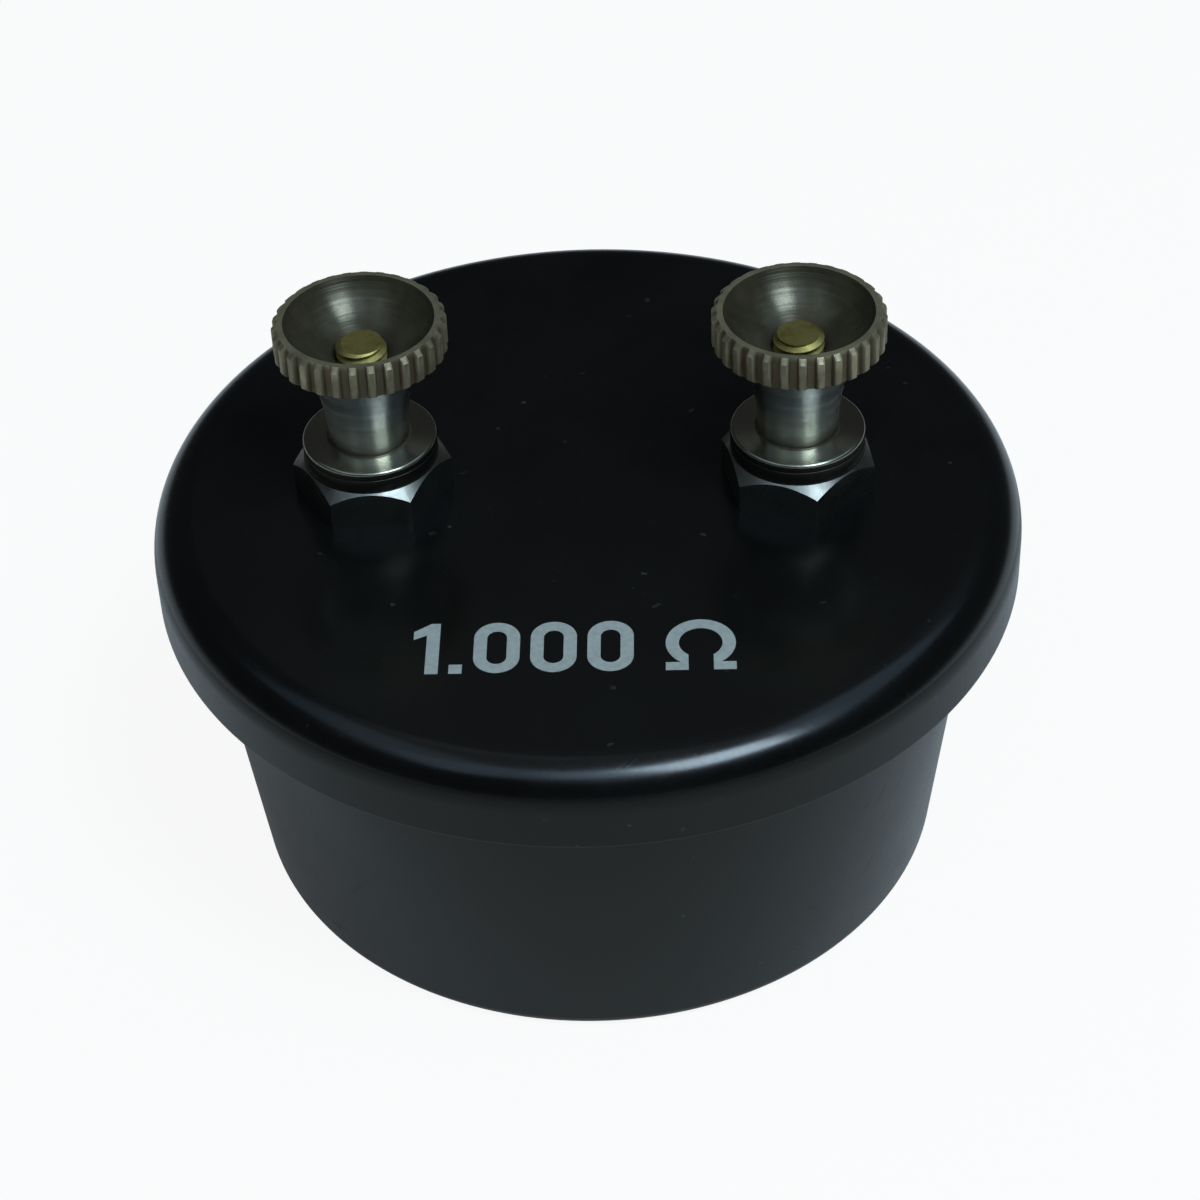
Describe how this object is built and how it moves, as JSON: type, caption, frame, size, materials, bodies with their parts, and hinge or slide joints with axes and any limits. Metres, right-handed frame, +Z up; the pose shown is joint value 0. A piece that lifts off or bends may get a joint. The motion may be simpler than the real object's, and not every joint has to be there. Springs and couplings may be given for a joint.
{
  "type": "wirewound resistance coil",
  "caption": "Round black moulded case with an overhanging lid that holds a doubled-back resistance winding, joined to knurled screw terminals that clamp test leads.",
  "frame": {"origin": "middle of the case's underside, on the surface that it stands on", "axes": "+Z up along the case, +X from the left terminal to the right one, -Y towards the viewer of the picture"},
  "size_m": [0.07, 0.07, 0.0497],
  "materials": {
    "black_phenolic": "polished black moulding, lightly worn",
    "nickel_plate": "turned brass with dulled nickel plate",
    "bare_brass": "bare tarnished brass",
    "plated_steel": "plated, dull",
    "brown_phenolic": "turned from brown laminate",
    "covered_wire": "green cotton covering, varnished",
    "tinned_tag": "hot tinned",
    "solder": "soft solder"
  },
  "bodies": {
    "case": {"case_lid": "black_phenolic", "case_cup": "black_phenolic", "case_screw": "plated_steel", "screw_washer": "plated_steel", "lid_insert": "bare_brass", "bobbin": "brown_phenolic", "resistance_winding": "covered_wire", "left_terminal_stud": "bare_brass", "left_hex_nut": "nickel_plate", "left_under_washer": "plated_steel", "left_solder_tag": "tinned_tag", "left_under_nut": "bare_brass", "left_solder_joint": "solder", "right_terminal_stud": "bare_brass", "right_hex_nut": "nickel_plate", "right_under_washer": "plated_steel", "right_solder_tag": "tinned_tag", "right_under_nut": "bare_brass", "right_solder_joint": "solder"},
    "left_clamp": {"left_clamp_washer": "nickel_plate"},
    "left_thumb": {"left_thumb_nut": "nickel_plate"},
    "right_clamp": {"right_clamp_washer": "nickel_plate"},
    "right_thumb": {"right_thumb_nut": "nickel_plate"}
  },
  "joints": [
    {"name": "left_clamp_lift", "type": "slide", "parent": "case", "child": "left_clamp", "axis": [0, 0, 1], "range_m": [0, 0.00701]},
    {"name": "left_thumb_turn", "type": "hinge", "parent": "left_clamp", "child": "left_thumb", "pos_m": [-0.017, 0, 0.0379], "axis": [0, 0, 1], "range_deg": [0, 3600]},
    {"name": "right_clamp_lift", "type": "slide", "parent": "case", "child": "right_clamp", "axis": [0, 0, 1], "range_m": [0, 0.00701]},
    {"name": "right_thumb_turn", "type": "hinge", "parent": "right_clamp", "child": "right_thumb", "pos_m": [0.017, 0, 0.0379], "axis": [0, 0, 1], "range_deg": [0, 3600]}
  ],
  "couplings": [
    {"joint": "left_clamp_lift", "follows": "left_thumb_turn", "m_per_rad": 0.00011141},
    {"joint": "right_clamp_lift", "follows": "right_thumb_turn", "m_per_rad": 0.00011141}
  ]
}
